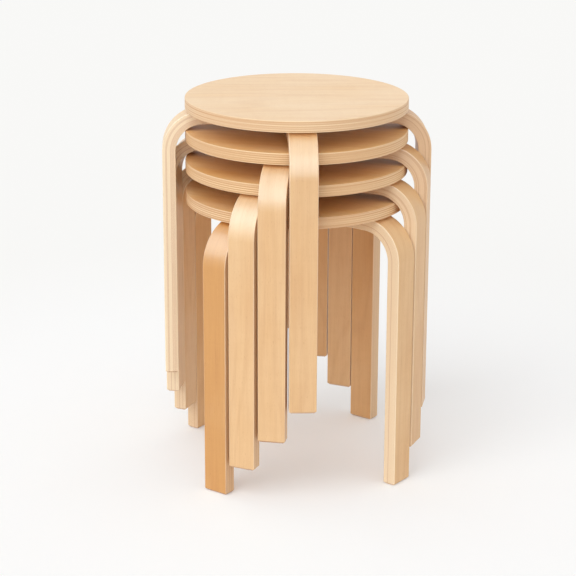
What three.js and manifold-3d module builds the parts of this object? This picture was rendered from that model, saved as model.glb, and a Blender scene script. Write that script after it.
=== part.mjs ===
// A spiral stack of four round stools, in millimetres, with +Z up and the front along -Y.
// Each stool has a round plywood seat and four bent laminated legs screwed to it from below.

import * as THREE from 'three';
import { mergeVertices } from 'three/addons/utils/BufferGeometryUtils.js';
import loadManifold from 'manifold-3d';

// Seat board
const seatDiameter = 350;
const seatThickness = 18;
const seatEdge = 1;

// Whole stool, from the floor to the top of the seat
const stoolHeight = 450;

// Bent laminated legs: the arm runs under the seat and the upright stands outside its rim
const legThickness = 21;
const legWidth = 43;
const footWidth = 42.5;
const legEdge = 1;
const footChamfer = 3;
const innerBendRadius = 44;
const rimToLegGap = 15;
const armEndRadius = 45;
const legCount = 4;

// Wood screws, put in from below
const screwHeadDiameter = 10.5;
const screwHeadHeight = 3.2;
const screwShankDiameter = 5.4;
const screwTipLength = 4;
const screwBiteInSeat = 11;
const screwHeadRecess = 0.4;
const socketDiameter = 4.6;
const socketDepth = 2;
const screwClearance = 0.3;
const pilotHoleExtra = 1;
const firstScrewFromArmEnd = 27;
const screwSpacing = 52;

// Fits and the stack
const seatToArmGap = 0.3;
const stackRestGap = 0.3;
const stackSideGap = 0.5;
const stoolCount = 4;
const topStoolTurnDegrees = 2.8;
const cutOverrun = 2;

// Facets
const roundSteps = 64;
const bendSteps = 8;
const screwSteps = 8;
const weldDistance = 0.0001;

// Sizes that follow from the ones above
const seatRadius = seatDiameter / 2;
const seatUnderside = stoolHeight - seatThickness;
const armTop = seatUnderside - seatToArmGap;
const armUnderside = armTop - legThickness;
const innerFaceRadius = seatRadius + rimToLegGap;
const bendCentreRadius = innerFaceRadius - innerBendRadius;
const bendCentreHeight = armUnderside - innerBendRadius;
const middleBendRadius = innerBendRadius + legThickness / 2;
const screwLength = legThickness - screwHeadRecess + seatToArmGap + screwBiteInSeat;
const headRadius = screwHeadDiameter / 2;
const shankRadius = screwShankDiameter / 2;
const quarterTurn = Math.PI / 2;

// The bends of one stool rest on the top edge of the seat below, which sets the stacking step.
const rimReach = seatRadius - seatEdge - bendCentreRadius;
const bendDropAtRim = innerBendRadius - Math.sqrt(innerBendRadius ** 2 - rimReach ** 2);
const stackStep = seatThickness + seatToArmGap + legThickness + bendDropAtRim + stackRestGap;

// Each stool is turned until its legs clear the legs of the one below at their inner corners.
const stackTurn = 2 * Math.asin((legWidth + stackSideGap) / 2 / innerFaceRadius);

const wasm = await loadManifold();
wasm.setup();

const seatFinish = { color: 0xf4dcbc, roughness: 0.5, metalness: 0 };
const legFinish = { color: 0xe8bf8f, roughness: 0.42, metalness: 0 };
const screwFinish = { color: 0x8f9296, roughness: 0.35, metalness: 0.9 };

function weld(geometry) {
  const bare = geometry.clone();
  bare.deleteAttribute('normal');
  bare.deleteAttribute('uv');
  const welded = mergeVertices(bare, weldDistance);
  const corners = Array.from(welded.index.array);
  const kept = [];
  for (let i = 0; i < corners.length; i += 3) {
    const [a, b, c] = corners.slice(i, i + 3);
    if (a !== b && b !== c && c !== a) {
      kept.push(a, b, c);
    }
  }
  welded.setIndex(kept);
  return welded;
}

function toSolid(geometry) {
  const welded = weld(geometry);
  const vertProperties = Float32Array.from(welded.attributes.position.array);
  const triVerts = Uint32Array.from(welded.index.array);
  return new wasm.Manifold(new wasm.Mesh({ numProp: 3, vertProperties, triVerts }));
}

function toGeometry(solid) {
  const mesh = solid.getMesh();
  const geometry = new THREE.BufferGeometry();
  const positions = Float32Array.from(mesh.vertProperties);
  geometry.setAttribute('position', new THREE.BufferAttribute(positions, 3));
  geometry.setIndex(Array.from(mesh.triVerts));
  return geometry;
}

function cut(geometry, cutters) {
  const body = toSolid(geometry);
  const remaining = cutters.reduce((solid, cutter) => solid.subtract(toSolid(cutter)), body);
  return toGeometry(remaining);
}

function shaded(geometry) {
  const flat = geometry.index ? geometry.toNonIndexed() : geometry;
  flat.computeVertexNormals();
  return flat;
}

function piece(name, geometry, finish) {
  const mesh = new THREE.Mesh(shaded(geometry), new THREE.MeshStandardMaterial(finish));
  mesh.name = name;
  return mesh;
}

// A turned solid around Z, from a profile of [radius, height] points that starts and ends on the axis.
function turned(profile, steps) {
  const points = profile.map(([radius, height]) => new THREE.Vector2(radius, height));
  return new THREE.LatheGeometry(points, steps).rotateX(quarterTurn);
}

function roundBoard(radius, thickness, edge) {
  const profile = [
    [0, 0],
    [radius - edge, 0],
    [radius, edge],
    [radius, thickness - edge],
    [radius - edge, thickness],
    [0, thickness],
  ];
  return turned(profile, roundSteps);
}

function legAngle(leg) {
  return (leg / legCount) * 2 * Math.PI;
}

// Screw radii of one arm, from the inner screw to the outer one
function screwRadii() {
  const first = armEndRadius + firstScrewFromArmEnd;
  return [first, first + screwSpacing];
}

// A geometry made once for each screw of an arm, measured from the underside of the arm along +X
function atArmScrews(makeGeometry) {
  return screwRadii().map((radius) => makeGeometry().translate(radius, 0, armUnderside));
}

// One countersunk screw, pointing up, measured from the underside of the arm
function screwGeometry() {
  const head = screwHeadRecess;
  const profile = [
    [0, head + socketDepth],
    [socketDiameter / 2, head + socketDepth],
    [socketDiameter / 2, head],
    [headRadius, head],
    [shankRadius, head + screwHeadHeight],
    [shankRadius, head + screwLength - screwTipLength],
    [0, head + screwLength],
  ];
  return turned(profile, screwSteps);
}

function clearanceHoleCutter() {
  const wide = headRadius + screwClearance;
  const narrow = shankRadius + screwClearance;
  const profile = [
    [0, -cutOverrun],
    [wide, -cutOverrun],
    [wide, screwHeadRecess],
    [narrow, screwHeadRecess + screwHeadHeight],
    [narrow, legThickness + cutOverrun],
    [0, legThickness + cutOverrun],
  ];
  return turned(profile, screwSteps);
}

function pilotHoleCutter() {
  const radius = shankRadius + screwClearance;
  const bottom = screwHeadRecess + screwLength + pilotHoleExtra;
  const profile = [
    [0, legThickness - cutOverrun],
    [radius, legThickness - cutOverrun],
    [radius, bottom],
    [0, bottom],
  ];
  return turned(profile, screwSteps);
}

function seatGeometry() {
  const board = roundBoard(seatRadius, seatThickness, seatEdge).translate(0, 0, seatUnderside);
  const holes = [];
  for (let leg = 0; leg < legCount; leg += 1) {
    holes.push(...atArmScrews(pilotHoleCutter).map((hole) => hole.rotateZ(legAngle(leg))));
  }
  return cut(board, holes);
}

// A station of the leg: middle of the section, direction of its outer face and half sizes
function station(radius, height, turn, halfThickness, halfWidth) {
  return { radius, height, turn, halfThickness, halfWidth };
}

function legStations() {
  const halfThickness = legThickness / 2;
  const uprightRadius = innerFaceRadius + halfThickness;
  const stations = [station(armEndRadius, armUnderside + halfThickness, 0, halfThickness, legWidth / 2)];
  for (let step = 0; step <= bendSteps; step += 1) {
    const turn = (step / bendSteps) * quarterTurn;
    const radius = bendCentreRadius + middleBendRadius * Math.sin(turn);
    const height = bendCentreHeight + middleBendRadius * Math.cos(turn);
    stations.push(station(radius, height, turn, halfThickness, legWidth / 2));
  }
  stations.push(station(uprightRadius, footChamfer, quarterTurn, halfThickness, footWidth / 2));
  const footHalfThickness = halfThickness - footChamfer;
  const footHalfWidth = footWidth / 2 - footChamfer;
  stations.push(station(uprightRadius, 0, quarterTurn, footHalfThickness, footHalfWidth));
  return stations;
}

// Corners of a section with its edges taken off: across is sideways and out is to the outer face
function sectionCorners({ halfThickness, halfWidth }) {
  return [
    [halfWidth - legEdge, halfThickness],
    [halfWidth, halfThickness - legEdge],
    [halfWidth, legEdge - halfThickness],
    [halfWidth - legEdge, -halfThickness],
    [legEdge - halfWidth, -halfThickness],
    [-halfWidth, legEdge - halfThickness],
    [-halfWidth, halfThickness - legEdge],
    [legEdge - halfWidth, halfThickness],
  ];
}

function sweptGeometry(stations) {
  const positions = [];
  for (const place of stations) {
    for (const [across, out] of sectionCorners(place)) {
      const radius = place.radius + out * Math.sin(place.turn);
      const height = place.height + out * Math.cos(place.turn);
      positions.push(radius, across, height);
    }
  }
  const corners = sectionCorners(stations[0]).length;
  const faces = [];
  for (let ring = 0; ring + 1 < stations.length; ring += 1) {
    for (let corner = 0; corner < corners; corner += 1) {
      const a = ring * corners + corner;
      const b = ring * corners + ((corner + 1) % corners);
      faces.push(a, a + corners, b, b, a + corners, b + corners);
    }
  }
  const lastRing = (stations.length - 1) * corners;
  for (let corner = 1; corner + 1 < corners; corner += 1) {
    faces.push(0, corner, corner + 1);
    faces.push(lastRing, lastRing + corner + 1, lastRing + corner);
  }
  const geometry = new THREE.BufferGeometry();
  geometry.setAttribute('position', new THREE.Float32BufferAttribute(positions, 3));
  geometry.setIndex(faces);
  return geometry;
}

function legGeometry() {
  return cut(sweptGeometry(legStations()), atArmScrews(clearanceHoleCutter));
}

// One leg with its screws, with its arm along +X
function makeLeg(name) {
  const leg = new THREE.Group();
  leg.add(piece(name, legGeometry(), legFinish));
  const [innerScrew, outerScrew] = atArmScrews(screwGeometry);
  leg.add(piece(`${name}_inner_screw`, innerScrew, screwFinish));
  leg.add(piece(`${name}_outer_screw`, outerScrew, screwFinish));
  return leg;
}

function makeStool(name) {
  const stool = new THREE.Group();
  stool.add(piece(`${name}_seat`, seatGeometry(), seatFinish));
  for (let number = 0; number < legCount; number += 1) {
    const leg = makeLeg(`${name}_leg_${number + 1}`);
    leg.rotation.z = legAngle(number);
    stool.add(leg);
  }
  return stool;
}

const stack = new THREE.Group();
for (let number = 1; number <= stoolCount; number += 1) {
  const stool = makeStool(`stool_${number}`);
  const turnsBelowTop = stoolCount - number;
  const frontTurn = THREE.MathUtils.degToRad(topStoolTurnDegrees) - turnsBelowTop * stackTurn;
  stool.rotation.z = frontTurn - quarterTurn;
  stool.position.z = (number - 1) * stackStep;
  stack.add(stool);
}

export default stack;
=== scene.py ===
# The looks of a spiral stack of four plywood stools, in metres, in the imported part's frame.
# +Z is up and the front is along -Y, as in the solids.

import math

import bmesh
import bpy
from mathutils import Matrix, Vector


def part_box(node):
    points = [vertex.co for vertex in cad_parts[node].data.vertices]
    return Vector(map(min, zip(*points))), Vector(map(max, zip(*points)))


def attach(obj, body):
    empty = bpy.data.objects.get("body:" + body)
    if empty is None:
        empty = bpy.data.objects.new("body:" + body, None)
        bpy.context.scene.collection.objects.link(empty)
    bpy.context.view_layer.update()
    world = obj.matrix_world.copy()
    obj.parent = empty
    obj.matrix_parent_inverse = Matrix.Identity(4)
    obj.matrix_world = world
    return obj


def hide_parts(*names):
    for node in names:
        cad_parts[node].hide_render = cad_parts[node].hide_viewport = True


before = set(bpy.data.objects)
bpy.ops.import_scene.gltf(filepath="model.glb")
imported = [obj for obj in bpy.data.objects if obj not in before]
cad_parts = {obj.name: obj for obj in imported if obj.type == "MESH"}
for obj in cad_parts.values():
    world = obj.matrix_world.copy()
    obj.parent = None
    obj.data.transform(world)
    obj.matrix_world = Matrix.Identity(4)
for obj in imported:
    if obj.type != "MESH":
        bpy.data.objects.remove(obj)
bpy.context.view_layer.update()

# Sizes repeated from the solids
SEAT_RADIUS = 0.175
SEAT_THICKNESS = 0.018
STOOL_HEIGHT = 0.450
LEG_THICKNESS = 0.021
LEG_WIDTH = 0.043
FOOT_WIDTH = 0.0425
FOOT_CHAMFER = 0.003
INNER_BEND_RADIUS = 0.044
RIM_TO_LEG_GAP = 0.015
ARM_END_RADIUS = 0.045
LEG_COUNT = 4
SCREW_HEAD_RADIUS = 0.00525
SCREW_HEAD_HEIGHT = 0.0032
SCREW_SHANK_RADIUS = 0.0027
SCREW_TIP_LENGTH = 0.004
SCREW_BITE_IN_SEAT = 0.011
SCREW_HEAD_RECESS = 0.0004
SOCKET_RADIUS = 0.0023
SOCKET_DEPTH = 0.002
SCREW_CLEARANCE = 0.0003
FIRST_SCREW_FROM_ARM_END = 0.027
SCREW_SPACING = 0.052
SEAT_TO_ARM_GAP = 0.0003
STACK_SIDE_GAP = 0.0005
STOOL_COUNT = 4
TOP_STOOL_TURN = math.radians(2.8)

# Finer shape than the solids
ARRIS_RADIUS = 0.0012
ARRIS_STEPS = 3
BEND_STEPS = 24
ROUND_STEPS = 192
SCREW_STEPS = 30
SOCKET_SIDES = 6
HEAD_ARRIS = 0.0003
CUT_OVERRUN = 0.002
SMOOTH_ANGLE = math.radians(35)

# Sizes that follow from the ones above
SEAT_UNDERSIDE = STOOL_HEIGHT - SEAT_THICKNESS
ARM_TOP = SEAT_UNDERSIDE - SEAT_TO_ARM_GAP
ARM_UNDERSIDE = ARM_TOP - LEG_THICKNESS
INNER_FACE_RADIUS = SEAT_RADIUS + RIM_TO_LEG_GAP
UPRIGHT_RADIUS = INNER_FACE_RADIUS + LEG_THICKNESS / 2
BEND_CENTRE_RADIUS = INNER_FACE_RADIUS - INNER_BEND_RADIUS
BEND_CENTRE_HEIGHT = ARM_UNDERSIDE - INNER_BEND_RADIUS
MIDDLE_BEND_RADIUS = INNER_BEND_RADIUS + LEG_THICKNESS / 2
ARM_LENGTH = BEND_CENTRE_RADIUS - ARM_END_RADIUS
SCREW_LENGTH = LEG_THICKNESS - SCREW_HEAD_RECESS + SEAT_TO_ARM_GAP + SCREW_BITE_IN_SEAT
STACK_TURN = 2 * math.asin((LEG_WIDTH + STACK_SIDE_GAP) / 2 / INNER_FACE_RADIUS)
QUARTER_TURN = math.pi / 2

# Plies
SEAT_PLIES = 11
LEG_PLIES = 14


# Shapes

def mesh_of(name, points, faces):
    """A closed mesh with its faces turned outwards."""
    mesh = bpy.data.meshes.new(name)
    mesh.from_pydata(points, [], faces)
    shape = bmesh.new()
    shape.from_mesh(mesh)
    bmesh.ops.recalc_face_normals(shape, faces=shape.faces)
    shape.to_mesh(mesh)
    shape.free()
    return mesh


def skin(name, rings):
    """A closed mesh through rings of the same number of points."""
    count = len(rings[0])
    points = [point for ring in rings for point in ring]
    faces = []
    for ring in range(len(rings) - 1):
        start = ring * count
        for i in range(count):
            j = (i + 1) % count
            faces.append((start + i, start + j, start + count + j, start + count + i))
    faces.append(tuple(range(count)))
    faces.append(tuple(range(len(points) - count, len(points))))
    return mesh_of(name, points, faces)


def turned(name, profile, steps):
    """A turned mesh around Z, from (radius, height) pairs."""
    rings = []
    for radius, height in profile:
        turns = [2 * math.pi * step / steps for step in range(steps)]
        rings.append([(radius * math.cos(turn), radius * math.sin(turn), height) for turn in turns])
    return skin(name, rings)


def cut(mesh, cutters):
    """The mesh with the cutters taken out of it."""
    body = bpy.data.objects.new(mesh.name, mesh)
    bpy.context.collection.objects.link(body)
    tools = []
    for cutter in cutters:
        tool = bpy.data.objects.new(cutter.name, cutter)
        bpy.context.collection.objects.link(tool)
        modifier = body.modifiers.new("cut", "BOOLEAN")
        modifier.operation = "DIFFERENCE"
        modifier.solver = "EXACT"
        modifier.object = tool
        tools.append(tool)
    graph = bpy.context.evaluated_depsgraph_get()
    result = bpy.data.meshes.new_from_object(body.evaluated_get(graph))
    for spare in [body, *tools]:
        bpy.data.objects.remove(spare)
    return result


def section(half_width, half_thickness, radius):
    """A rectangle with round corners, as (across, out) pairs."""
    ring = []
    for quarter, (side, face) in enumerate(((1, 1), (1, -1), (-1, -1), (-1, 1))):
        for step in range(ARRIS_STEPS + 1):
            turn = QUARTER_TURN * (1 - quarter - step / ARRIS_STEPS)
            across = side * (half_width - radius) + radius * math.cos(turn)
            out = face * (half_thickness - radius) + radius * math.sin(turn)
            ring.append((across, out))
    return ring


def leg_ring(radius, height, turn, half_width, half_thickness):
    """The section of a leg at a place on it, turned from the arm to the upright."""
    points = []
    for across, out in section(half_width, half_thickness, ARRIS_RADIUS):
        points.append((radius + out * math.sin(turn), across, height + out * math.cos(turn)))
    return points


def screw_hole(radius):
    """A cutter for one countersunk clearance hole."""
    wide = SCREW_HEAD_RADIUS + SCREW_CLEARANCE
    narrow = SCREW_SHANK_RADIUS + SCREW_CLEARANCE
    profile = [
        (wide, -CUT_OVERRUN),
        (wide, SCREW_HEAD_RECESS),
        (narrow, SCREW_HEAD_RECESS + SCREW_HEAD_HEIGHT),
        (narrow, LEG_THICKNESS + CUT_OVERRUN),
    ]
    hole = turned("hole", profile, SCREW_STEPS)
    hole.transform(Matrix.Translation((radius, 0, ARM_UNDERSIDE)))
    return hole


def screw_radii():
    """Radii of the two screws of an arm, the inner one first."""
    first = ARM_END_RADIUS + FIRST_SCREW_FROM_ARM_END
    return (first, first + SCREW_SPACING)


def leg_mesh():
    """One bent leg with its arm along +X."""
    half = LEG_THICKNESS / 2
    rings = [leg_ring(ARM_END_RADIUS, ARM_UNDERSIDE + half, 0, LEG_WIDTH / 2, half)]
    for step in range(BEND_STEPS + 1):
        turn = QUARTER_TURN * step / BEND_STEPS
        radius = BEND_CENTRE_RADIUS + MIDDLE_BEND_RADIUS * math.sin(turn)
        height = BEND_CENTRE_HEIGHT + MIDDLE_BEND_RADIUS * math.cos(turn)
        rings.append(leg_ring(radius, height, turn, LEG_WIDTH / 2, half))
    rings.append(leg_ring(UPRIGHT_RADIUS, FOOT_CHAMFER, QUARTER_TURN, FOOT_WIDTH / 2, half))
    foot_half_width = FOOT_WIDTH / 2 - FOOT_CHAMFER
    rings.append(leg_ring(UPRIGHT_RADIUS, 0, QUARTER_TURN, foot_half_width, half - FOOT_CHAMFER))
    return cut(skin("leg", rings), [screw_hole(radius) for radius in screw_radii()])


def round_board(name, radius, thickness, height):
    """A round board with its two arrises rounded, standing on the given height."""
    profile = []
    for step in range(ARRIS_STEPS + 1):
        turn = QUARTER_TURN * step / ARRIS_STEPS
        out = radius - ARRIS_RADIUS * (1 - math.sin(turn))
        profile.append((out, height + ARRIS_RADIUS * (1 - math.cos(turn))))
    for out, low in reversed(profile[:]):
        profile.append((out, 2 * height + thickness - low))
    return turned(name, profile, ROUND_STEPS)


def seat_mesh():
    """The round seat of a stool, without its hidden pilot holes."""
    return round_board("seat", SEAT_RADIUS, SEAT_THICKNESS, SEAT_UNDERSIDE)


def screw_mesh(radius):
    """One countersunk screw, pointing up, with a six-sided socket."""
    low = SCREW_HEAD_RECESS
    profile = [
        (SCREW_HEAD_RADIUS - HEAD_ARRIS, low),
        (SCREW_HEAD_RADIUS, low + HEAD_ARRIS),
        (SCREW_SHANK_RADIUS, low + SCREW_HEAD_HEIGHT),
        (SCREW_SHANK_RADIUS, low + SCREW_LENGTH - SCREW_TIP_LENGTH),
        (HEAD_ARRIS, low + SCREW_LENGTH),
    ]
    body = turned("screw", profile, SCREW_STEPS)
    socket_profile = [(SOCKET_RADIUS, -CUT_OVERRUN), (SOCKET_RADIUS, low + SOCKET_DEPTH)]
    socket = turned("socket", socket_profile, SOCKET_SIDES)
    mesh = cut(body, [socket])
    mesh.transform(Matrix.Translation((radius, 0, ARM_UNDERSIDE)))
    return mesh


# Grain: where a point lies in the wood, and what kind of face a face is

# How squarely a face has to look in a direction to count as an arris, a flat, an end or a side
BOARD_ARRIS_SHARE = 0.1
LEG_FLAT_SHARE = 0.97
LEG_END_SHARE = 0.6
LEG_SIDE_SHARE = 0.7


def board_grain(middle):
    """Grain of a flat board: its face veneers run along Y."""
    def grain(point):
        return (point.y, point.x, point.z - middle)

    def zone(centre, normal):
        edge = math.hypot(normal.x, normal.y)
        flat = abs(normal.z)
        arris = 1.0 if min(edge, flat) > BOARD_ARRIS_SHARE else 0.0
        return (arris, 0.0, 1.0 if edge > flat else 0.0)

    return grain, zone


def leg_frame(point):
    """Length along the leg, offset out of its middle and the direction out, from a place on it."""
    if point.x <= BEND_CENTRE_RADIUS:
        out = point.z - ARM_UNDERSIDE - LEG_THICKNESS / 2
        return point.x - ARM_END_RADIUS, out, Vector((0, 0, 1))
    if point.z >= BEND_CENTRE_HEIGHT:
        offset = Vector((point.x - BEND_CENTRE_RADIUS, 0, point.z - BEND_CENTRE_HEIGHT))
        length = ARM_LENGTH + MIDDLE_BEND_RADIUS * math.atan2(offset.x, offset.z)
        return length, offset.length - MIDDLE_BEND_RADIUS, offset.normalized()
    length = ARM_LENGTH + MIDDLE_BEND_RADIUS * QUARTER_TURN + BEND_CENTRE_HEIGHT - point.z
    return length, point.x - UPRIGHT_RADIUS, Vector((1, 0, 0))


def leg_grain():
    """Grain of a bent leg: every veneer runs along it."""
    def grain(point):
        length, out, _ = leg_frame(point)
        return (length, point.y, out)

    def zone(centre, normal):
        direction = leg_frame(centre)[2]
        face = abs(normal.dot(direction))
        edge = abs(normal.y)
        end = math.sqrt(max(0.0, 1 - face * face - edge * edge))
        arris = 1.0 if max(face, edge, end) < LEG_FLAT_SHARE else 0.0
        return (arris, 1.0 if end > LEG_END_SHARE else 0.0, 1.0 if edge > LEG_SIDE_SHARE else 0.0)

    return grain, zone


def mark(mesh, kind):
    """Writes the grain and the zone of a mesh into it, and its soft and sharp edges."""
    grain, zone = kind
    grains = mesh.attributes.new("grain", "FLOAT_VECTOR", "POINT")
    for vertex in mesh.vertices:
        grains.data[vertex.index].vector = grain(vertex.co)
    zones = mesh.attributes.new("zone", "FLOAT_VECTOR", "FACE")
    for face in mesh.polygons:
        zones.data[face.index].vector = zone(face.center, face.normal)
    mesh.shade_smooth()
    mesh.set_sharp_from_angle(angle=SMOOTH_ANGLE)
    return mesh


# Materials

# The curve that takes a screen colour to the light it stands for
SCREEN_LEVELS = 255
CURVE_KNEE = 0.04045
CURVE_SLOPE = 12.92
CURVE_OFFSET = 0.055
CURVE_POWER = 2.4

# Sockets of a node that mixes two colours
MIX_SHARE = 0
MIX_LOW = 6
MIX_HIGH = 7
MIX_RESULT = 2


def linear(red, green, blue):
    """A colour from 0 to 255 as the shader needs it."""
    parts = []
    for part in (red, green, blue):
        share = part / SCREEN_LEVELS
        if share <= CURVE_KNEE:
            parts.append(share / CURVE_SLOPE)
        else:
            parts.append(((share + CURVE_OFFSET) / (1 + CURVE_OFFSET)) ** CURVE_POWER)
    return (*parts, 1.0)


class Shader:
    """Short calls that add nodes to one material and link them."""

    def __init__(self, name):
        self.material = bpy.data.materials.new(name)
        self.material.use_nodes = True
        self.tree = self.material.node_tree
        self.surface = self.tree.nodes["Principled BSDF"]

    def feed(self, socket, value):
        if isinstance(value, bpy.types.NodeSocket):
            self.tree.links.new(value, socket)
        else:
            socket.default_value = value

    def add(self, kind, values, output=0, **settings):
        node = self.tree.nodes.new(kind)
        for name, value in settings.items():
            setattr(node, name, value)
        for key, value in values.items():
            self.feed(node.inputs[key], value)
        return node.outputs[output]

    def math(self, operation, *values):
        return self.add("ShaderNodeMath", dict(enumerate(values)), operation=operation)

    def mix(self, share, low, high, blend="MIX"):
        values = {MIX_SHARE: share, MIX_LOW: low, MIX_HIGH: high}
        return self.add("ShaderNodeMix", values, MIX_RESULT, data_type="RGBA", blend_type=blend)

    def multiply(self, share, colour, other):
        return self.mix(share, colour, other, "MULTIPLY")

    def vector(self, x, y, z):
        return self.add("ShaderNodeCombineXYZ", {"X": x, "Y": y, "Z": z})

    def scaled(self, vector, scale):
        return self.add("ShaderNodeVectorMath", {"Vector": vector, "Scale": scale}, operation="SCALE")

    def parts(self, name):
        """The three parts of a vector that is stored in the mesh."""
        vector = self.add("ShaderNodeAttribute", {}, "Vector", attribute_name=name)
        node = self.tree.nodes.new("ShaderNodeSeparateXYZ")
        self.feed(node.inputs[0], vector)
        return node.outputs[:3]

    def noise(self, vector, detail=2.0, roughness=0.5, distortion=0.0):
        values = {
            "Vector": vector, "Scale": 1.0, "Detail": detail,
            "Roughness": roughness, "Distortion": distortion,
        }
        return self.add("ShaderNodeTexNoise", values, "Fac")

    def random(self, value):
        return self.add("ShaderNodeTexWhiteNoise", {"W": value}, "Value", noise_dimensions="1D")

    def limits(self, value, low, high, to_low=0.0, to_high=1.0, smooth=False):
        """A value from low to high, kept within them and spread from to_low to to_high."""
        kind = "SMOOTHSTEP" if smooth else "LINEAR"
        values = dict(enumerate((value, low, high, to_low, to_high)))
        return self.add("ShaderNodeMapRange", values, interpolation_type=kind, clamp=True)

    def raised(self, height, strength, distance):
        """Relief of the surface, at most a distance high."""
        values = {"Strength": strength, "Distance": distance, "Height": height}
        self.feed(self.surface.inputs["Normal"], self.add("ShaderNodeBump", values))


# Noises of the grain: how fast along and across it, detail, roughness and distortion
FIGURE_NOISE = (3.4, 30.0, 4.0, 0.55, 0.6)
STREAK_NOISE = (6.0, 170.0, 3.0, 0.6, 0.0)
FIBRE_NOISE = (28.0, 1100.0, 2.0, 0.6, 0.0)
FLECK_NOISE = (170.0, 1500.0, 1.0, 0.5, 0.0)
FLAME_NOISE = (62.0, 16.0, 2.0, 0.5, 0.8)
SWIRL_NOISE = (2.2, 16.0, 1.0, 0.4, 0.3)
WAVER_SCALE = 22
BLOTCH_SCALE = 9
BLOTCH_DETAIL = 1.0
PORE_SCALE = 900
NOISE_MIDDLE = 0.5

# The part of each noise that counts, from its low to its high value
STREAK_RANGE = (0.42, 0.78)
FIBRE_RANGE = (0.4, 0.8)
FLECK_RANGE = (0.66, 0.78)
FLAME_RANGE = (0.35, 0.75)
RING_RANGE = (0.2, 1.0)
PORE_RANGE = (0.3, 0.8)
RUB_RANGE = (0.35, 0.65)
DULL_FIBRE_RANGE = (0.3, 0.8)

# Plies, in shares of one ply, and how their grain and tone differ
PLY_MARGIN = 0.001
HALF_PLY = 0.5
GLUE_RANGE = (0.02, 0.13)
PLY_SHIFT = 0.37
PLY_SEED_STEP = 1.37
DARK_PLY_FROM = 0.8

# End grain, and arrises rubbed paler
END_DARKNESS = (0.35, 0.8)
LEAST_RUB_SHARE = 0.3

# Roughness that is added to the lacquer
FIBRE_ROUGHNESS = 0.14
EDGE_ROUGHNESS = 0.08
ARRIS_ROUGHNESS = 0.06
END_ROUGHNESS = 0.2
COAT_ROUGHNESS = 0.25

# Relief of the wood, with sunk places below zero
FIBRE_RELIEF = 0.5
STREAK_RELIEF = 0.35
FLECK_RELIEF = -0.5
GLUE_RELIEF = -0.8
PORE_RELIEF = 0.8
WOOD_BUMP_STRENGTH = 0.35
WOOD_BUMP_DISTANCE = 0.00012


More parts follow.
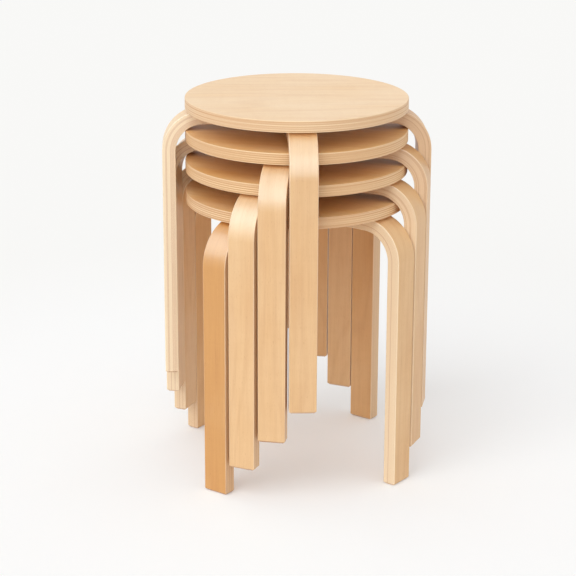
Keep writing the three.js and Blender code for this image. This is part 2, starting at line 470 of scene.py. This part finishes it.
class Wood(Shader):
    """Lacquered birch: face veneers, edges with their plies, end grain, and arrises worn a little."""

    def __init__(self, name, plies, thickness, crossed, looks):
        super().__init__(name)
        self.plies = plies
        self.crossed = crossed
        self.looks = looks
        self.length, self.width, self.depth = self.parts("grain")
        self.tone, self.seed, self.edge_tone = self.parts("piece")
        self.arris, self.end, self.edge = self.parts("zone")
        self.find_ply(thickness)
        self.grow_grain()
        self.paint()
        self.varnish()
        self.carve()

    def swayed(self, value, noise, strength):
        """A value that a noise moves up and down."""
        return self.math("MULTIPLY_ADD", self.math("SUBTRACT", noise, NOISE_MIDDLE), strength, value)

    def either(self, even, odd):
        """The first value in even plies and the second in odd ones."""
        return self.math("MULTIPLY_ADD", self.odd, self.math("SUBTRACT", odd, even), even)

    def find_ply(self, thickness):
        """Which ply a point lies in, and how near the glue line it is."""
        lengthwise = self.math("MULTIPLY", self.length, WAVER_SCALE)
        sideways = self.math("MULTIPLY", self.width, WAVER_SCALE)
        waver = self.noise(self.vector(lengthwise, sideways, self.seed))
        depth = self.limits(self.depth, -thickness / 2, thickness / 2, 0.0, float(self.plies))
        depth = self.swayed(depth, waver, self.looks["waver"])
        depth = self.math("MAXIMUM", depth, PLY_MARGIN)
        depth = self.math("MINIMUM", depth, self.plies - PLY_MARGIN)
        self.ply = self.math("FLOOR", depth)
        self.odd = self.math("MODULO", self.ply, 2.0)
        to_face = self.math("MINIMUM", depth, self.math("SUBTRACT", self.plies, depth))
        inside = self.math("GREATER_THAN", to_face, HALF_PLY)
        share = self.math("FRACT", depth)
        to_glue = self.math("MINIMUM", share, self.math("SUBTRACT", 1.0, share))
        glue = self.limits(to_glue, *GLUE_RANGE, 1.0, 0.0, smooth=True)
        self.glue = self.math("MULTIPLY", glue, inside)

    def stretched(self, noise):
        """A noise drawn out along the fibres."""
        along_scale, across_scale, detail, roughness, distortion = noise
        lengthwise = self.math("MULTIPLY_ADD", self.along, along_scale, self.shift)
        sideways = self.math("MULTIPLY_ADD", self.across, across_scale, self.shift)
        through = self.math("MULTIPLY", self.depth, across_scale)
        return self.noise(self.vector(lengthwise, sideways, through), detail, roughness, distortion)

    def grow_grain(self):
        """Fibres run along the length, or across it in every other ply of a crossed board."""
        self.along, self.across = self.length, self.width
        if self.crossed:
            self.along = self.either(self.length, self.width)
            self.across = self.either(self.width, self.length)
        self.shift = self.math("MULTIPLY_ADD", self.ply, PLY_SHIFT, self.seed)
        self.streaks = self.stretched(STREAK_NOISE)
        self.fibres = self.stretched(FIBRE_NOISE)
        self.flecks = self.limits(self.stretched(FLECK_NOISE), *FLECK_RANGE, smooth=True)
        lengthwise = self.math("MULTIPLY_ADD", self.length, BLOTCH_SCALE, self.seed)
        sideways = self.math("MULTIPLY", self.width, BLOTCH_SCALE)
        self.blotch = self.noise(self.vector(lengthwise, sideways, self.seed), BLOTCH_DETAIL)
        across = self.math("MULTIPLY", self.width, PORE_SCALE)
        through = self.math("MULTIPLY", self.depth, PORE_SCALE)
        self.pores = self.noise(self.vector(across, through, self.seed))

    def face_colour(self):
        """The face veneer, from pale to honey, with its growth figure and its fibres."""
        looks = self.looks
        warmth = self.swayed(self.tone, self.stretched(FIGURE_NOISE), looks["figure"])
        warmth = self.swayed(warmth, self.blotch, looks["blotch"])
        colour = self.mix(self.limits(warmth, 0.0, 1.0), looks["pale"], looks["deep"])
        turns = self.math("MULTIPLY", self.stretched(SWIRL_NOISE), looks["ring_count"] * 2 * math.pi)
        patterns = {
            "streaks": self.limits(self.streaks, *STREAK_RANGE),
            "flame": self.limits(self.stretched(FLAME_NOISE), *FLAME_RANGE),
            "rings": self.limits(self.math("SINE", turns), *RING_RANGE),
            "fibres": self.limits(self.fibres, *FIBRE_RANGE),
            "flecks": self.flecks,
        }
        dark = 0.0
        for name, pattern in patterns.items():
            dark = self.math("MULTIPLY_ADD", pattern, looks[name], dark)
        return self.multiply(self.math("MINIMUM", dark, 1.0), colour, looks["dark"])

    def edge_colour(self, face):
        """Paler wood, with plies of slightly different tone and thin glue lines."""
        looks = self.looks
        ply_tone = self.random(self.math("MULTIPLY_ADD", self.ply, PLY_SEED_STEP, self.seed))
        darker = self.math("MULTIPLY", ply_tone, looks["ply_change"])
        if self.crossed:
            sideways = self.math("ABSOLUTE", self.width)
            lengthwise = self.math("ABSOLUTE", self.length)
            turn = self.math("ARCTAN2", sideways, lengthwise)
            cross_cut = self.either(self.math("COSINE", turn), self.math("SINE", turn))
            darker = self.math("MULTIPLY_ADD", cross_cut, looks["cross_cut"], darker)
        else:
            dark_ply = self.math("GREATER_THAN", ply_tone, DARK_PLY_FROM)
            darker = self.math("MULTIPLY_ADD", dark_ply, looks["dark_ply"], darker)
        wood = self.mix(self.limits(self.edge_tone, 0.0, 1.0), looks["edge"], looks["deep_edge"])
        colour = self.mix(looks["edge_share"], face, wood)
        colour = self.multiply(darker, colour, looks["dark"])
        return self.mix(self.math("MULTIPLY", self.glue, looks["glue_share"]), colour, looks["glue"])

    def paint(self):
        """Faces and edges, then end grain, which drinks more lacquer, and arrises rubbed paler."""
        looks = self.looks
        face = self.face_colour()
        edge = self.edge_colour(face)
        end = self.multiply(self.limits(self.pores, *PORE_RANGE, *END_DARKNESS), edge, looks["dark"])
        rubbed = self.limits(self.blotch, *RUB_RANGE, looks["rub"] * LEAST_RUB_SHARE, looks["rub"])
        colour = self.mix(self.edge, face, edge)
        colour = self.mix(self.end, colour, end)
        colour = self.mix(self.math("MULTIPLY", self.arris, rubbed), colour, looks["edge"])
        self.feed(self.surface.inputs["Base Color"], colour)

    def varnish(self):
        """Satin lacquer, duller in the pores, on edges and where it is rubbed."""
        least = self.looks["roughness"]
        rough = self.limits(self.fibres, *DULL_FIBRE_RANGE, least, least + FIBRE_ROUGHNESS)
        rough = self.math("MULTIPLY_ADD", self.edge, EDGE_ROUGHNESS, rough)
        rough = self.math("MULTIPLY_ADD", self.arris, ARRIS_ROUGHNESS, rough)
        rough = self.math("MULTIPLY_ADD", self.end, END_ROUGHNESS, rough)
        self.feed(self.surface.inputs["Roughness"], rough)
        self.feed(self.surface.inputs["Coat Weight"], self.looks["coat"])
        self.feed(self.surface.inputs["Coat Roughness"], COAT_ROUGHNESS)

    def carve(self):
        """Raised fibres, open flecks and sunk glue lines."""
        glue_lines = self.math("MULTIPLY", self.glue, self.edge)
        end_pores = self.math("MULTIPLY", self.pores, self.end)
        height = self.math("MULTIPLY", self.fibres, FIBRE_RELIEF)
        height = self.math("MULTIPLY_ADD", self.streaks, STREAK_RELIEF, height)
        height = self.math("MULTIPLY_ADD", self.flecks, FLECK_RELIEF, height)
        height = self.math("MULTIPLY_ADD", glue_lines, GLUE_RELIEF, height)
        height = self.math("MULTIPLY_ADD", end_pores, PORE_RELIEF, height)
        self.raised(height, WOOD_BUMP_STRENGTH, WOOD_BUMP_DISTANCE)


# Colours and strengths of the wood, first what all of it shares
WOOD = {
    "pale": linear(244, 212, 166),
    "deep": linear(210, 151, 80),
    "dark": linear(190, 132, 74),
    "edge": linear(254, 234, 200),
    "deep_edge": linear(206, 152, 92),
    "glue": linear(160, 104, 56),
    "figure": 0.35, "blotch": 0.3, "streaks": 0.1, "flame": 0.04, "fibres": 0.1, "flecks": 0.3,
    "ring_count": 7, "rings": 0.07, "waver": 0.16, "edge_share": 0.8, "rub": 0.3,
}
SEAT_WOOD = {
    **WOOD,
    "pale": linear(249, 221, 184),
    # The deep seat colour is strongly saturated so that the deeper-toned lower seats look like warm
    # shade: painted shade.
    "deep": linear(229, 165, 45),
    "deep_edge": linear(240, 190, 96),
    "ply_change": 0.3, "cross_cut": 0.42, "glue_share": 0.4,
    "roughness": 0.5, "coat": 0.15,
}
LEG_WOOD = {
    **WOOD,
    "ply_change": 0.12, "dark_ply": 0.25, "glue_share": 0.35,
    "roughness": 0.42, "coat": 0.3,
}

# Zinc-plated steel
DARK_ZINC = linear(168, 170, 172)
BRIGHT_ZINC = linear(206, 206, 200)
SCUFF_SCALE = 420.0
SCUFF_DETAIL = 3.0
SCUFF_RANGE = (0.3, 0.7)
ZINC_ROUGHNESS = (0.24, 0.42)
FINE_SCALE = 2600.0
STEEL_BUMP_STRENGTH = 0.3
STEEL_BUMP_DISTANCE = 0.00005


def steel_material():
    """Zinc-plated screw heads: bright, scuffed in blotches, with a fine relief."""
    s = Shader("look_screw_steel")
    position = s.add("ShaderNodeTexCoord", {}, "Object")
    scuffs = s.noise(s.scaled(position, SCUFF_SCALE), SCUFF_DETAIL)
    fine = s.noise(s.scaled(position, FINE_SCALE))
    s.feed(s.surface.inputs["Base Color"], s.mix(scuffs, DARK_ZINC, BRIGHT_ZINC))
    s.feed(s.surface.inputs["Metallic"], 1.0)
    s.feed(s.surface.inputs["Roughness"], s.limits(scuffs, *SCUFF_RANGE, *ZINC_ROUGHNESS))
    s.raised(fine, STEEL_BUMP_STRENGTH, STEEL_BUMP_DISTANCE)
    return s.material


# The stack

# Tones of each stool's wood, from pale to honey, on faces and on edges: seat, then legs 1 to 4.
# The lower three seats are deeper and warmer than the top one. This is partly their own tone and partly
# painted shade, standing in for the warm shade between the stacked seats. The legs' edge tones are
# partly their own tone and partly painted light and shade. They are mostly deeper on the front legs
# (leg 1), which is painted shade that darkens the gaps between them. They are paler on the left legs
# (leg 4) of the upper stools, which is painted light on their lit side.
TONES = {
    1: ((0.50, 0.22), (1.00, 0.62), (0.50, 0.15), (0.70, 0.50), (0.55, 0.45)),
    2: ((0.54, 0.28), (0.46, 0.60), (0.60, 0.35), (0.52, 0.50), (0.45, 0.30)),
    3: ((0.54, 0.28), (0.54, 0.65), (0.65, 0.50), (0.65, 0.50), (0.30, 0.10)),
    4: ((0.09, 0.16), (0.56, 0.50), (0.75, 0.60), (0.55, 0.50), (0.00, 0.00)),
}
SCREW_TONE = (0.0, 0.0)
SEED_STEP = 3.731

LOOKS = {
    "seat_ply": Wood("look_seat_ply", SEAT_PLIES, SEAT_THICKNESS, True, SEAT_WOOD).material,
    "leg_laminate": Wood("look_leg_laminate", LEG_PLIES, LEG_THICKNESS, False, LEG_WOOD).material,
    "screw_steel": steel_material(),
}

placed = []


def place(name, master, matrix, stool, slot, tone, node):
    """A copy of a master mesh that stands for one node of a stool."""
    mesh = master.copy()
    mesh.name = name
    mesh.transform(matrix)
    face_tone, edge_tone = tone
    seed = SEED_STEP * len(placed)
    marks = mesh.attributes.new("piece", "FLOAT_VECTOR", "POINT")
    for mark_of_point in marks.data:
        mark_of_point.vector = (face_tone, seed, edge_tone)
    mesh.materials.append(LOOKS[slot])
    piece = bpy.data.objects.new(name, mesh)
    bpy.context.collection.objects.link(piece)
    soften = piece.modifiers.new("soften", "WEIGHTED_NORMAL")
    soften.keep_sharp = True
    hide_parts(node)
    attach(piece, stool)
    placed.append(piece)


def place_stool(number, seat_master, leg_master, screw_masters):
    """One stool of the stack: its seat, its legs and their screws."""
    stool = f"stool_{number}"
    seat_tone, *leg_tones = TONES[number]
    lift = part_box(f"{stool}_seat")[1].z - STOOL_HEIGHT
    front_turn = TOP_STOOL_TURN - (STOOL_COUNT - number) * STACK_TURN
    base = Matrix.Translation((0, 0, lift)) @ Matrix.Rotation(front_turn - QUARTER_TURN, 4, "Z")
    place(f"seat_of_{stool}", seat_master, base, stool, "seat_ply", seat_tone, f"{stool}_seat")
    for leg in range(LEG_COUNT):
        turn = base @ Matrix.Rotation(leg * QUARTER_TURN, 4, "Z")
        node = f"{stool}_leg_{leg + 1}"
        leg_name = f"leg_{leg + 1}_of_{stool}"
        place(leg_name, leg_master, turn, stool, "leg_laminate", leg_tones[leg], node)
        for which, master in screw_masters.items():
            name = f"{leg_name}_{which}"
            place(name, master, turn, stool, "screw_steel", SCREW_TONE, f"{node}_{which}")


def place_stack():
    """Every stool, as copies of one seat, one leg and two screws."""
    seat_master = mark(seat_mesh(), board_grain(SEAT_UNDERSIDE + SEAT_THICKNESS / 2))
    leg_master = mark(leg_mesh(), leg_grain())
    screw_masters = {
        name: mark(screw_mesh(radius), leg_grain())
        for name, radius in zip(("inner_screw", "outer_screw"), screw_radii())
    }
    for number in range(1, STOOL_COUNT + 1):
        place_stool(number, seat_master, leg_master, screw_masters)


# Floor, light and camera

FLOOR_REACH = 14.0
# The floor is painted brighter near the stack, fading to its far colour between the two reaches: a
# painted pool of light.
FLOOR_POOL_OF_LIGHT = linear(252, 253, 254)
FLOOR_FAR = linear(248, 248, 247)
FLOOR_NEAR_REACH = 0.45
FLOOR_FAR_REACH = 1.3
FLOOR_ROUGHNESS = 0.9
# A share of the floor's colour glows where the floor is seen: painted light that lightens the stack's
# shadow.
FLOOR_GLOW_SHARE = 0.15

# Lamps: azimuth to the right of the front and height, in degrees, strength, and softness in degrees.
# The sheens give the legs their satin highlights.
KEY = (-32, 42, 1.25, 60)
SHEENS = {
    "sheen_left": (-84, 37, 4.2, 54),
    "sheen_middle": (-37, 28, 1.9, 50),
    "sheen_right": (6, 26, 3.6, 50),
    "sheen_above": (10, 70, 3.0, 60),
}
SHEEN_COLOUR = (0.5, 0.8, 1.0)

# The room lights the stack with the first strength, and what is seen of it has the second
WORLD_STRENGTH = 0.74
WORLD_SEEN = 0.94
WORLD_COLOUR = (1.0, 0.995, 0.985, 1.0)


def seen_directly(tree):
    """1 for what the camera sees, also in a reflection or through glass, and 0 for the light itself."""
    paths = tree.nodes.new("ShaderNodeLightPath")
    seen = paths.outputs["Is Camera Ray"]
    for other in ("Is Glossy Ray", "Is Transmission Ray"):
        either = tree.nodes.new("ShaderNodeMath")
        either.operation = "MAXIMUM"
        tree.links.new(seen, either.inputs[0])
        tree.links.new(paths.outputs[other], either.inputs[1])
        seen = either.outputs["Value"]
    return seen


def make_floor():
    """A pale floor with a painted pool of light near the stack, and a small glow of its own where it is
    seen, which lightens the stack's shadow on it.
    """
    floor_mesh = bpy.data.meshes.new("floor")
    reach = FLOOR_REACH
    corners = [(-reach, -reach, 0), (reach, -reach, 0), (reach, reach, 0), (-reach, reach, 0)]
    floor_mesh.from_pydata(corners, [], [(0, 1, 2, 3)])
    floor = bpy.data.objects.new("floor", floor_mesh)
    bpy.context.collection.objects.link(floor)
    s = Shader("look_floor")
    position = s.add("ShaderNodeTexCoord", {}, "Object")
    distance = s.add("ShaderNodeVectorMath", {"Vector": position}, "Value", operation="LENGTH")
    # Painted pool of light: the brighter floor colour near the stack.
    far = s.limits(distance, FLOOR_NEAR_REACH, FLOOR_FAR_REACH, smooth=True)
    colour = s.mix(far, FLOOR_POOL_OF_LIGHT, FLOOR_FAR)
    s.feed(s.surface.inputs["Base Color"], colour)
    s.feed(s.surface.inputs["Roughness"], FLOOR_ROUGHNESS)
    s.feed(s.surface.inputs["Specular IOR Level"], 0.0)
    glow = s.add("ShaderNodeEmission", {"Color": colour, "Strength": 1.0})
    share = s.math("MULTIPLY", seen_directly(s.tree), FLOOR_GLOW_SHARE)
    seen = s.add("ShaderNodeMixShader", {0: share, 1: s.surface.outputs["BSDF"], 2: glow})
    s.feed(s.tree.nodes["Material Output"].inputs["Surface"], seen)
    floor_mesh.materials.append(s.material)


def make_lamp(name, azimuth, height, strength, softness):
    """A soft far lamp, with its three angles in degrees."""
    azimuth = math.radians(azimuth)
    height = math.radians(height)
    data = bpy.data.lights.new(name, "SUN")
    data.energy = strength
    data.angle = math.radians(softness)
    lamp = bpy.data.objects.new(name, data)
    bpy.context.collection.objects.link(lamp)
    level = math.cos(height)
    out = Vector((math.sin(azimuth) * level, -math.cos(azimuth) * level, math.sin(height)))
    lamp.rotation_euler = out.to_track_quat("Z", "Y").to_euler()
    return lamp


def make_lamps():
    """The key lamp for everything, and the sheens, which only the legs reflect."""
    key = make_lamp("key", *KEY)
    key.visible_glossy = False
    legs = bpy.data.collections.new("legs")
    for piece in placed:
        if piece.name.startswith("leg_") and "screw" not in piece.name:
            legs.objects.link(piece)
    for name, values in SHEENS.items():
        sheen = make_lamp(name, *values)
        sheen.data.color = SHEEN_COLOUR
        sheen.visible_diffuse = False
        sheen.light_linking.receiver_collection = legs


def make_room():
    """An even pale room."""
    world = bpy.data.worlds.new("room")
    world.use_nodes = True
    bpy.context.scene.world = world
    tree = world.node_tree
    strength = tree.nodes.new("ShaderNodeMapRange")
    strength.inputs["To Min"].default_value = WORLD_STRENGTH
    strength.inputs["To Max"].default_value = WORLD_SEEN
    tree.links.new(seen_directly(tree), strength.inputs["Value"])
    background = tree.nodes["Background"]
    background.inputs["Color"].default_value = WORLD_COLOUR
    tree.links.new(strength.outputs["Result"], background.inputs["Strength"])


CAMERA_PLACE = Vector((-0.0198, -3.0517, 1.2660))
CAMERA_YAW = math.radians(0.135)
CAMERA_PITCH = math.radians(-17.843)
CAMERA_ROLL = math.radians(0.22)
CAMERA_LENS = 124.46
CAMERA_SENSOR = 36.0


def make_camera():
    """The camera in front of the stack, looking slightly down on it."""
    data = bpy.data.cameras.new("camera")
    data.lens = CAMERA_LENS
    data.sensor_width = CAMERA_SENSOR
    camera = bpy.data.objects.new("camera", data)
    bpy.context.collection.objects.link(camera)
    level = math.cos(CAMERA_PITCH)
    ahead = Vector((math.sin(CAMERA_YAW) * level, math.cos(CAMERA_YAW) * level, math.sin(CAMERA_PITCH)))
    right = Vector((math.cos(CAMERA_YAW), -math.sin(CAMERA_YAW), 0.0))
    up = right.cross(ahead)
    rolled_right = right * math.cos(CAMERA_ROLL) + up * math.sin(CAMERA_ROLL)
    rolled_up = up * math.cos(CAMERA_ROLL) - right * math.sin(CAMERA_ROLL)
    turn = Matrix((rolled_right, rolled_up, -ahead)).transposed()
    camera.matrix_world = Matrix.Translation(CAMERA_PLACE) @ turn.to_4x4()
    bpy.context.scene.camera = camera


place_stack()
make_floor()
make_lamps()
make_room()
make_camera()
bpy.context.scene.view_settings.view_transform = "Standard"
